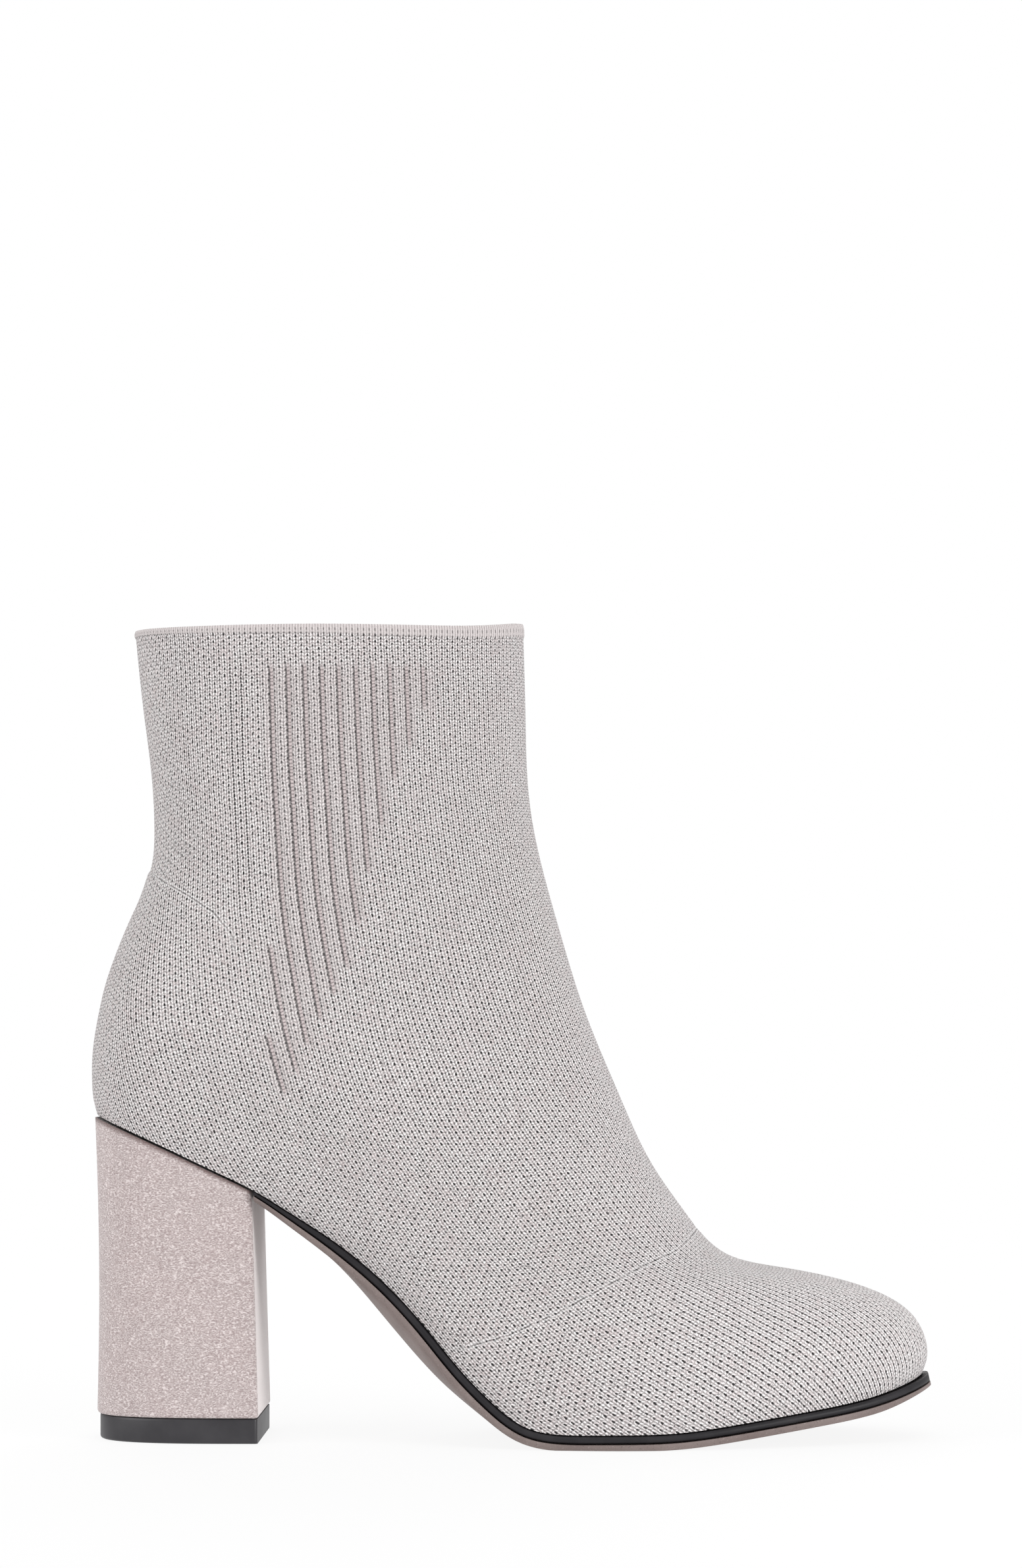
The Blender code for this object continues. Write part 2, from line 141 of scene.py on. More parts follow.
# Rings of the upper from the sole line (0) to the collar (1), as in the CAD model
ringEnds = np.array([
    # level backIn up    toe     depth  vamp   rise   sag
    (0.000, 0.0068, 0.000, 0.9970, 0.000, 0.000, 0.000, 1.000),
    (0.027, 0.0022, 0.033, 1.0030, 0.000, 0.155, 0.000, 0.970),
    (0.058, 0.0007, 0.068, 0.9955, 0.000, 0.370, 0.000, 0.930),
    (0.098, 0.0008, 0.111, 0.9690, 0.000, 0.575, 0.000, 0.880),
    (0.148, 0.0036, 0.159, 0.9140, 0.000, 0.745, 0.000, 0.820),
    (0.205, 0.0086, 0.207, 0.8370, 0.000, 0.865, 0.000, 0.750),
    (0.270, 0.0164, 0.266, 0.7590, 0.000, 1.000, 0.000, 0.660),
    (0.335, 0.0288, 0.330, 0.6960, 0.029, 1.000, 0.068, 0.550),
    (0.410, 0.0477, 0.409, 0.5790, 0.189, 1.000, 0.152, 0.420),
    (0.490, 0.0686, 0.493, 0.4520, 0.384, 1.000, 0.257, 0.300),
    (0.585, 0.0752, 0.584, 0.3030, 0.622, 1.000, 0.381, 0.180),
    (0.690, 0.0722, 0.696, 0.1630, 0.852, 1.000, 0.522, 0.090),
    (0.800, 0.0643, 0.807, 0.0643, 0.996, 1.000, 0.696, 0.040),
    (0.905, 0.0572, 0.910, 0.0572, 0.996, 1.000, 0.854, 0.010),
    (1.000, 0.0522, 1.000, 0.0522, 1.000, 1.000, 1.000, 0.000),
])

ringWidths = np.array([
    # level heel  ball   out    in    square oval  crest backN frontN
    (0.000, 1.000, 1.000, 0.000, 0.000, 2.00, 0.00, 0.42, 2.30, 2.70),
    (0.027, 1.050, 1.030, 0.020, 0.060, 2.00, 0.00, 0.42, 2.30, 2.70),
    (0.058, 1.090, 1.040, 0.036, 0.105, 2.00, 0.00, 0.42, 2.30, 2.70),
    (0.098, 1.125, 1.030, 0.048, 0.140, 2.00, 0.02, 0.42, 2.30, 2.70),
    (0.148, 1.155, 1.010, 0.056, 0.160, 2.05, 0.06, 0.42, 2.30, 2.70),
    (0.205, 1.180, 1.000, 0.058, 0.165, 2.20, 0.13, 0.42, 2.30, 2.80),
    (0.270, 1.190, 1.000, 0.052, 0.155, 2.50, 0.24, 0.42, 2.30, 3.00),
    (0.335, 1.190, 1.000, 0.042, 0.130, 2.90, 0.40, 0.42, 2.30, 3.00),
    (0.410, 1.180, 0.970, 0.028, 0.095, 3.00, 0.60, 0.42, 2.30, 2.90),
    (0.490, 1.160, 0.930, 0.014, 0.055, 2.80, 0.79, 0.43, 2.30, 2.60),
    (0.585, 1.140, 0.900, 0.004, 0.020, 2.50, 0.93, 0.44, 2.20, 2.35),
    (0.690, 1.120, 0.900, 0.000, 0.000, 2.20, 1.00, 0.45, 2.20, 2.15),
    (0.800, 1.100, 0.900, 0.000, 0.000, 2.00, 1.00, 0.46, 2.10, 2.05),
    (0.905, 1.100, 0.900, 0.000, 0.000, 2.00, 1.00, 0.47, 2.00, 1.95),
    (1.000, 1.100, 0.900, 0.000, 0.000, 2.00, 1.00, 0.47, 2.00, 1.95),
])


def spline(knots, values, at):
    # natural cubic spline through the values at the knots
    step = np.diff(knots)
    slope = np.diff(values) / step
    count = len(knots)
    system = np.eye(count)
    right = np.zeros(count)
    for i in range(1, count - 1):
        system[i, i - 1:i + 2] = step[i - 1], 2 * (step[i - 1] + step[i]), step[i]
        right[i] = 6 * (slope[i] - slope[i - 1])
    bend = np.linalg.solve(system, right)
    at = np.clip(at, knots[0], knots[-1])
    i = np.clip(np.searchsorted(knots, at) - 1, 0, count - 2)
    a = (knots[i + 1] - at) / step[i]
    b = 1 - a
    curved = ((a**3 - a) * bend[i] + (b**3 - b) * bend[i + 1]) * step[i]**2 / 6
    return a * values[i] + b * values[i + 1] + curved


def splines(table, at):
    return [spline(table[:, 0], column, at) for column in table[:, 1:].T]


def ease(value, start, end):
    share = np.clip((value - start) / (end - start), 0, 1)
    return share * share * (3 - 2 * share)


def hump(value, centre, reach):
    return np.cos(np.clip((value - centre) / reach, -1, 1) * np.pi / 2)**2


def soleHeight(along):
    seat, spring = splines(soleLine, along)
    return soleThickness + seat * (last["seatHeight"] - soleThickness) + spring * last["toeSpring"]


def soleSlope(along):
    step = 0.002
    return (soleHeight(along + step) - soleHeight(along - step)) / (2 * step * last["length"])


def bedHeight(along):
    return soleHeight(along) + soles["gap"] * np.hypot(1, soleSlope(along))


def fullWidths(along):
    widening = ease(along, last["seatEnd"], last["ballStart"])
    local = last["seatWidth"] + (last["ballWidth"] - last["seatWidth"]) * widening
    outer, inner = splines(solePlan, along)
    return outer * local, inner * local


def roundEnds(share, power=2.0):
    fromMiddle = np.clip(2 * np.abs(share - 0.5), 0, 1)
    power = np.where(share < 0.5, 2.0, power)
    return (1 - fromMiddle**power)**(1 / power)


def planWidths(along):
    outer, inner = fullWidths(along)
    return outer * roundEnds(along), inner * roundEnds(along)


def arch(along):
    return last["archRise"] * hump(along, last["waistMiddle"], last["archReach"])


def middleLine(along):
    return last["toeSwing"] * along**2


def upperPoints(levels, angles):
    # Outside of the upper, levels by angles. Angle 0 is the back, pi the front.
    level, angle = np.meshgrid(levels, angles, indexing="ij")
    backIn, up, toe, depth, vamp, rise, sag = splines(ringEnds, level)
    heelSwell, ballSwell, fillOut, fillIn, square, oval, crest, backN, frontN = splines(ringWidths, level)
    along = (1 - np.cos(angle)) / 2
    first, final = ringEnds[0, 1], ringEnds[0, 3]

    backX = backIn * last["length"]
    frontX = toe * last["length"] + depth * upper["collarDepth"]
    seatZ = bedHeight(first)
    toeZ = bedHeight(final)
    backZ = seatZ + up * upper["shaftHeight"]
    collarZ = last["seatHeight"] + upper["shaftHeight"] + upper["collarRise"]
    frontZ = toeZ + vamp * upper["vampHeight"] + rise * (collarZ - toeZ - upper["vampHeight"])
    x = backX + along * (frontX - backX)

    def dip(x):
        place = np.clip(x / last["length"], first, final)
        chord = seatZ + (place - first) / (final - first) * (toeZ - seatZ)
        return bedHeight(place) - chord

    soleDip = dip(x) - (1 - along) * dip(backX) - along * dip(frontX)
    z = backZ + along * (frontZ - backZ) + sag * soleDip

    place = x / last["length"]
    outer, inner = fullWidths(place)
    swell = heelSwell + (ballSwell - heelSwell) * ease(place, last["seatEnd"], last["ballStart"])
    waist = hump(place, last["instepMiddle"], last["instepReach"]) * last["seatWidth"]
    lowOuter = (outer * swell + fillOut * waist) * roundEnds(along, square)
    lowInner = (inner * swell + fillIn * waist) * roundEnds(along, square)
    before = along < crest
    reach = np.where(before, crest, 1 - crest)
    power = np.where(before, backN, frontN)
    share = np.clip(np.abs(along - crest) / reach, 0, 1)
    shaftWidth = upper["ankleWidth"] + (upper["collarWidth"] - upper["ankleWidth"]) * ease(level, 0.6, 1.0)
    roundShaft = (1 - share**power)**(1 / power) * shaftWidth / 2
    onOuter = angle <= np.pi
    low = np.where(onOuter, lowOuter, lowInner)
    width = low + (roundShaft - low) * oval
    y = middleLine(place) * (1 - oval) + np.where(onOuter, -width, width)
    lift = np.where(onOuter, 0, arch(place) * sag * np.abs(np.sin(angle)))
    frontPeak = np.clip(-np.cos(angle), 0, 1)**6
    rim = upper["collarRise"] * (frontPeak - along) - upper["collarDip"] * (1 - np.cos(angle)**4)
    z = z + lift + rim * ease(level, 0.75, 1.0)
    return np.stack([x + last["back"], y, z], axis=-1)


def outward(grid):
    # unit normals of a grid that is closed round its second direction
    roundWay = np.roll(grid, -1, axis=1) - np.roll(grid, 1, axis=1)
    normal = np.cross(roundWay, np.gradient(grid, axis=0))
    return normal / np.linalg.norm(normal, axis=2, keepdims=True)


def smoothObject(name, points, faces, material):
    mesh = bpy.data.meshes.new(name)
    mesh.from_pydata(np.asarray(points, float).tolist(), [], np.asarray(faces).tolist() if isinstance(faces, np.ndarray) else faces)
    mesh.shade_smooth()
    mesh.set_sharp_from_angle(angle=np.radians(50))
    mesh.materials.append(material)
    piece = bpy.data.objects.new(name, mesh)
    bpy.context.scene.collection.objects.link(piece)
    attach(piece, "root")
    return piece


def loftFaces(count, size):
    # quads between closed loops of the same size, and a cap at each end
    faces = [tuple(range(size))]
    for i in range(count - 1):
        for j in range(size):
            k = (j + 1) % size
            faces.append((i * size + k, i * size + j, (i + 1) * size + j, (i + 1) * size + k))
    start = (count - 1) * size
    faces.append(tuple(range(start + size - 1, start - 1, -1)))
    return faces


class Wire:
    # One output of a shader node. Sums on it add Math nodes to the same finish.
    def __init__(self, finish, socket):
        self.finish = finish
        self.socket = socket

    def math(self, operation, *others):
        values = dict(enumerate((self,) + others))
        return self.finish.add("ShaderNodeMath", {"operation": operation}, values)

    def __add__(self, other):
        return self.math("ADD", other)

    __radd__ = __add__

    def __sub__(self, other):
        return self.math("SUBTRACT", other)

    def __rsub__(self, other):
        return self.finish.add("ShaderNodeMath", {"operation": "SUBTRACT"}, {0: other, 1: self})

    def __mul__(self, other):
        return self.math("MULTIPLY", other)

    __rmul__ = __mul__

    def __truediv__(self, other):
        return self.math("DIVIDE", other)

    def __pow__(self, other):
        return self.math("POWER", other)

    def __abs__(self):
        return self.math("ABSOLUTE")

    def sine(self):
        return self.math("SINE")

    def fraction(self):
        return self.math("FRACT")

    def whole(self):
        return self.math("FLOOR")

    def largest(self, other):
        return self.math("MAXIMUM", other)

    def smallest(self, other):
        return self.math("MINIMUM", other)

    def step(self, start, end):
        # 0 before start, 1 after end and smooth between; start may be the larger
        inputs = {"Value": self, "From Min": start, "From Max": end}
        return self.finish.add("ShaderNodeMapRange", {"interpolation_type": "SMOOTHSTEP"}, inputs)


class Finish:
    # The nodes of one material, around its Principled BSDF
    def __init__(self, name, **constants):
        self.material = bpy.data.materials.new(name)
        self.material.use_nodes = True
        self.tree = self.material.node_tree
        self.shader = self.tree.nodes["Principled BSDF"]
        for socket, value in constants.items():
            self.shader.inputs[socket.replace("_", " ")].default_value = value

    def add(self, kind, settings=None, inputs=None, output=0):
        node = self.tree.nodes.new(kind)
        for name, value in (settings or {}).items():
            setattr(node, name, value)
        for name, value in (inputs or {}).items():
            self.feed(node.inputs[name], value)
        return Wire(self, node.outputs[output])

    def feed(self, socket, value):
        if isinstance(value, Wire):
            self.tree.links.new(value.socket, socket)
        elif isinstance(value, tuple) and len(value) == 3 and socket.type == "RGBA":
            socket.default_value = (*value, 1)
        else:
            socket.default_value = value

    def attribute(self, name):
        return self.add("ShaderNodeAttribute", {"attribute_name": name}, output="Fac")

    def place(self):
        return self.add("ShaderNodeTexCoord", output="Object")

    def noise(self, place, scale, detail=2.0, roughness=0.5, output="Fac"):
        inputs = {"Vector": place, "Scale": scale, "Detail": detail, "Roughness": roughness}
        return self.add("ShaderNodeTexNoise", None, inputs, output)

    def mix(self, share, first, second, blend="MIX"):
        settings = {"data_type": "RGBA", "blend_type": blend}
        return self.add("ShaderNodeMix", settings, {0: share, 6: first, 7: second}, 2)

    def bump(self, height, distance, strength=1.0, under=None):
        inputs = {"Height": height, "Distance": distance, "Strength": strength}
        if under is not None:
            inputs["Normal"] = under
        return self.add("ShaderNodeBump", None, inputs)

    def finish(self, **sockets):
        for socket, value in sockets.items():
            self.feed(self.shader.inputs[socket.replace("_", " ")], value)
        return self.material


knit = {
    "waleWidth": 0.00148,  # one column of stitches on the shaft
    "toeWaleWidth": 0.00168,
    "courseHeight": 0.00084,
    "toeCourseHeight": 0.00104,
    "ribTop": 0.1987,
    "ribDepth": 0.0006,
    "firstRib": 26.5,  # wales from the shin to the first recessed column
    "ribEvery": 3,
    # shade and light: painted shade low on each leg and painted light on its crest; light is also the band's pale
    # fibres
    "shade": (0.44, 0.405, 0.402),
    "light": (0.80, 0.754, 0.751),
    "pink": (0.66, 0.575, 0.573),
    # painted highlight on the crests of the legs; also used for the paler toe and the ridges at the turned rows
    "paintedHighlight": (0.95, 0.94, 0.94),
    # gap: near-black painted shade in the openings, creases and grooves of the knit; also the dark flecks in the
    # yarn
    "gap": (0.022, 0.020, 0.021),
    "ladderAt": 0.0158,  # x of the column of larger openings, at the collar
    "ladderFoot": (0.125, 0.150),
    "stretched": (0.085, 0.150),  # from x to x the knit is drawn over the toe
    # recess: painted shade deep in the recessed columns, between the band's ribs and low in the lining's stitches
    "recess": (0.23, 0.185, 0.187),
    "recessBar": (0.66, 0.580, 0.577),
    "ribYarn": (0.66, 0.600, 0.597),
    "band": (0.54, 0.495, 0.490),
    "lining": (0.55, 0.500, 0.495),
    "relief": 0.00045,
}

# Lower ends of the recessed columns, from the shin backwards
ribEnds = [
    0.1879, 0.1785, 0.1698, 0.1577, 0.1459, 0.1333, 0.1219, 0.1151, 0.1089, 0.1025, 0.0953, 0.0898,
]
ribTops = {10: 0.1274, 11: 0.1047}  # the last two start lower

# How far the columns of stitches lean from upright towards the toe: x, z and degrees
leans = np.array([
    (0.0235, 0.2170, 0),
    (0.0738, 0.2170, 0),
    (0.0235, 0.1836, 0),
    (0.0771, 0.1836, 1),
    (-0.0016, 0.1585, 1),
    (0.0403, 0.1585, 3),
    (0.0771, 0.1585, 8),
    (0.0570, 0.1333, 10),
    (0.0905, 0.1250, 19),
    (-0.0016, 0.1166, 9),
    (0.0403, 0.1149, 12),
    (-0.0016, 0.0965, 18),
    (0.0269, 0.0965, 18),
    (0.0721, 0.0998, 23),
    (0.0403, 0.0730, 32),
    (0.0637, 0.0663, 37),
    (0.1073, 0.0697, 36),
    (0.0738, 0.0395, 42),
    (0.0939, 0.0395, 48),
    (0.1173, 0.0395, 53),
    (0.1073, 0.0161, 54),
    (0.1240, 0.0161, 58),
    (0.1341, 0.0295, 65),
    (0.1441, 0.0127, 60),
    (0.1575, 0.0328, 70),
    (0.1642, 0.0194, 52),
    (0.1776, 0.0228, 40),
    (0.1810, 0.0345, 55),
    (0.1894, 0.0228, 18),
])

# Lines where short rows turn the knit, seen from the side: x and z
heelTurn = np.array([(-0.0050, 0.1455), (0.0045, 0.1400), (0.0107, 0.1360), (0.0157, 0.1300), (0.0165, 0.1240)])
vampTurn = np.array([
    (0.1345, 0.0542), (0.1287, 0.0497), (0.1202, 0.0463), (0.1100, 0.0410), (0.0984, 0.0347),
    (0.0858, 0.0290), (0.0709, 0.0245),
])


def leanAt(x, z):
    # the leans at the nearest places in the table, weighed by nearness
    weight = 1 / ((x[..., None] - leans[:, 0])**2 + (z[..., None] - leans[:, 1])**2 + 0.006**2)**1.5
    return np.radians((weight * leans[:, 2]).sum(-1) / weight.sum(-1))


def followKnit(points, target, pinned):
    # Least squares on a grid: the field whose steps along the grid's edges match the target
    # gradient best, and which is 0 at the pinned points. Solved by conjugate gradients.
    across = points[:, 1:] - points[:, :-1]
    up = points[1:] - points[:-1]
    acrossLength = np.linalg.norm(across, axis=2) + 1e-6
    upLength = np.linalg.norm(up, axis=2) + 1e-6
    acrossDual = np.zeros(acrossLength.shape)
    acrossDual[:-1] += (upLength[:, 1:] + upLength[:, :-1]) / 4
    acrossDual[1:] += (upLength[:, 1:] + upLength[:, :-1]) / 4
    upDual = np.zeros(upLength.shape)
    upDual[:, :-1] += (acrossLength[1:] + acrossLength[:-1]) / 4
    upDual[:, 1:] += (acrossLength[1:] + acrossLength[:-1]) / 4
    acrossWeight = acrossDual / acrossLength
    upWeight = upDual / upLength
    acrossStep = ((target[:, 1:] + target[:, :-1]) / 2 * across).sum(-1)
    upStep = ((target[1:] + target[:-1]) / 2 * up).sum(-1)

    def gather(acrossFlow, upFlow):
        total = np.zeros(points.shape[:2])
        total[:, 1:] += acrossFlow
        total[:, :-1] -= acrossFlow
        total[1:] += upFlow
        total[:-1] -= upFlow
        total[pinned] = 0
        return total

    def laplace(field):
        return gather(acrossWeight * (field[:, 1:] - field[:, :-1]), upWeight * (field[1:] - field[:-1]))

    diagonal = np.full(points.shape[:2], 1e-9)
    diagonal[:, 1:] += acrossWeight
    diagonal[:, :-1] += acrossWeight
    diagonal[1:] += upWeight
    diagonal[:-1] += upWeight
    field = np.zeros(points.shape[:2])
    rest = gather(acrossWeight * acrossStep, upWeight * upStep)
    eased = rest / diagonal
    way = eased.copy()
    size = (rest * eased).sum()
    goal = size * 1e-9
    for turn in range(2500):
        pushed = laplace(way)
        step = size / (way * pushed).sum()
        field += step * way
        rest -= step * pushed
        eased = rest / diagonal
        newSize = (rest * eased).sum()
        if newSize < goal:
            break
        way = eased + newSize / size * way
        size = newSize
    print("knit field settled after", turn, "turns")
    return field


def knitFields(points, normals):
    # Numbers of the wale and the course at each point of one side of the upper
    lean = leanAt(points[..., 0], points[..., 2])
    down = np.stack([np.sin(lean), 0 * lean, -np.cos(lean)], axis=-1)
    down -= (down * normals).sum(-1, keepdims=True) * normals
    down /= np.linalg.norm(down, axis=2, keepdims=True)
    toTheBack = -np.cross(normals, down)
    widening = ease(points[..., 0], 0.060, 0.170)
    wale = knit["waleWidth"] + (knit["toeWaleWidth"] - knit["waleWidth"]) * widening
    shin = np.zeros(points.shape[:2], bool)
    shin[:, -1] = True
    collar = np.zeros(points.shape[:2], bool)
    collar[-1] = True
    wales = followKnit(points, toTheBack / wale[..., None], shin) + 0.5
    course = knit["courseHeight"] + (knit["toeCourseHeight"] - knit["courseHeight"]) * widening
    courses = followKnit(points, down / course[..., None], collar)
    return wales, courses


def ribMask(wales, z):
    # 1 where a recessed column runs, for each point's own column
    number = np.round((wales - knit["firstRib"]) / knit["ribEvery"])
    mask = np.zeros(wales.shape)
    for i, end in enumerate(ribEnds):
        top = ribTops.get(i, knit["ribTop"])
        run = ease(z, end - 0.0008, end + 0.0012) * (1 - ease(z, top - 0.0008, top + 0.0006))
        mask = np.where(number == i, run, mask)
    return mask


def lineDistance(line, x, z):
    # signed distance from a line seen from the side, and how far along it the nearest point is
    best = np.full(x.shape, 1e3)
    signed = np.zeros(x.shape)
    share = np.zeros(x.shape)
    lengths = np.linalg.norm(np.diff(line, axis=0), axis=1)
    total = lengths.sum()
    before = 0
    for i in range(len(lengths)):
        way = (line[i + 1] - line[i]) / lengths[i]
        fromX, fromZ = x - line[i, 0], z - line[i, 1]
        run = np.clip(fromX * way[0] + fromZ * way[1], 0, lengths[i])
        apart = np.hypot(fromX - run * way[0], fromZ - run * way[1])
        side = np.sign(way[0] * fromZ - way[1] * fromX)
        nearer = apart < best
        best = np.where(nearer, apart, best)
        signed = np.where(nearer, apart * side, signed)
        share = np.where(nearer, (before + run) / total, share)
        before += lengths[i]
    return signed, share


def makeUpper():
    turn = np.linspace(0, 2 * np.pi, upper["columns"], endpoint=False)
    angles = turn + upper["crowding"] * np.sin(2 * turn)
    hem = collar["height"] / upper["shaftHeight"]
    rows = np.linspace(0, 1, upper["rows"])**upper["rowCrowding"] * (1 - hem * 1.5)
    rim = 1 - hem * np.array([1.25, 1.08, 1.0, 0.85, 0.6, 0.35, 0.15, 0.0])
    levels = np.concatenate([rows, rim])
    outside = upperPoints(levels, angles)
    normals = outward(outside)

    half = upper["columns"] // 2 + 1
    wales, courses = knitFields(outside[:, :half], normals[:, :half])
    mirrored = np.concatenate([np.arange(half), np.arange(half - 2, 0, -1)])
    wales, courses = wales[:, mirrored], courses[:, mirrored]
    x, z = outside[..., 0], outside[..., 2]
    ribs = ribMask(wales, z)
    column = (wales - knit["firstRib"]) / knit["ribEvery"]
    column = np.abs(column - np.round(column)) * knit["ribEvery"]
    atRim = np.argmin(np.abs(x[-20, :half] - knit["ladderAt"]))
    ladder = ease(np.abs(wales - np.round(wales[-20, atRim])), 1.7, 1.3)
    ladder = ladder * ease(z, *knit["ladderFoot"]) * ease(z, 0.2010, 0.1980)
    heelLine, heelShare = lineDistance(heelTurn, x, z)
    vampLine, vampShare = lineDistance(vampTurn, x, z)
    heelFade = 1 - ease(heelShare, 0.85, 1.0)
    vampFade = 1 - ease(vampShare, 0.90, 1.0)

    # relief: recessed columns with rounded ribs between them, the hem, and the turned rows
    relief = -knit["ribDepth"] * ribs * (1 - ease(column, 0.15, 0.95))
    relief += 0.0003 * ribs * ease(column, 0.7, 1.4)
    fromTop = (1 - levels[:, None]) * upper["shaftHeight"] / collar["height"]
    relief += collar["proud"] * (1 - ease(fromTop, 0.9, 1.15)) * (1 - 0.8 * (1 - ease(fromTop, 0.0, 0.35)))
    relief -= 0.00035 * hump(heelLine, 0, 0.0011) * heelFade
    relief -= 0.0002 * hump(vampLine, 0, 0.0011) * vampFade
    relief += 0.0005 * ease(heelLine, 0.0022, -0.0006) * hump(heelLine, 0, 0.010) * heelFade
    outside = outside + normals * relief[..., None]

    inner = upperPoints(np.linspace(0, 1, upper["innerRows"]), angles)
    innerNormals = outward(inner)
    inner = inner - innerNormals * upper["wall"]
    inner[0, :, 2] = outside[0, :, 2]
    top = outside[-1, :, 2].copy()
    inner[-1, :, 2] = top - 0.0004
    inner = inner[::-1]
    crest = (outside[-1] + inner[0]) / 2
    crest[:, 2] = top + 0.0001
    grid = np.concatenate([outside, crest[None], inner])

    rows, columns = grid.shape[:2]
    number = np.arange(rows * columns).reshape(rows, columns)
    after = np.roll(number, -1, axis=1)
    quads = np.stack([number[:-1], after[:-1], after[1:], number[1:]], axis=-1).reshape(-1, 4)
    closing = np.stack([number[-1], after[-1], after[0], number[0]], axis=-1)
    faces = np.concatenate([quads, closing])

    piece = smoothObject("knitted_upper", grid.reshape(-1, 3), faces, knitFinish())
    insideRows = upper["innerRows"] + 1
    down = np.linspace(0, 1, upper["innerRows"])
    innerCourses = -down[:, None] * 200 + np.zeros(columns)
    innerWales = np.broadcast_to(wales[-1], (upper["innerRows"], columns))

    def onAll(outer, inside):
        middle = np.broadcast_to(outer[-1], (1, columns))
        return np.concatenate([outer, middle, inside]).ravel()

    flat = np.zeros((upper["innerRows"], columns))
    ones = np.ones((upper["innerRows"], columns))
    fields = {
        "wale": onAll(wales, innerWales),
        "course": onAll(courses, innerCourses),
        "rib": onAll(ribs, flat),
        "hem": onAll(np.broadcast_to(1 - ease(fromTop, 0.95, 1.1), wales.shape), flat),
        "stretch": onAll(ease(x, *knit["stretched"]), flat),
        "underRim": onAll(np.broadcast_to(fromTop, wales.shape), flat + 9),
        "ladder": onAll(ladder, flat),
        "inside": onAll(flat[:1] + np.zeros(wales.shape), ones),
        "heelTurn": onAll(heelLine * 1000, flat + 50),
        "vampTurn": onAll(vampLine * 1000, flat + 50),
        "turnFade": onAll(np.where(np.abs(heelLine) < np.abs(vampLine), heelFade, vampFade), flat),
    }
    for name, values in fields.items():
        layer = piece.data.attributes.new(name, "FLOAT", "POINT")
        layer.data.foreach_set("value", values.astype(np.float32))
    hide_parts("upper")
    near = np.argmin(np.abs(outside[-10, :half, 0] - 0.0641))
    print("upper made:", len(faces), "quads; wale at the first rib's top", wales[-10, near], "wales at the back", wales[-1, 0])
    return piece


collar = {
    "height": 0.0016,  # turned band at the top
    "proud": 0.0003,
}


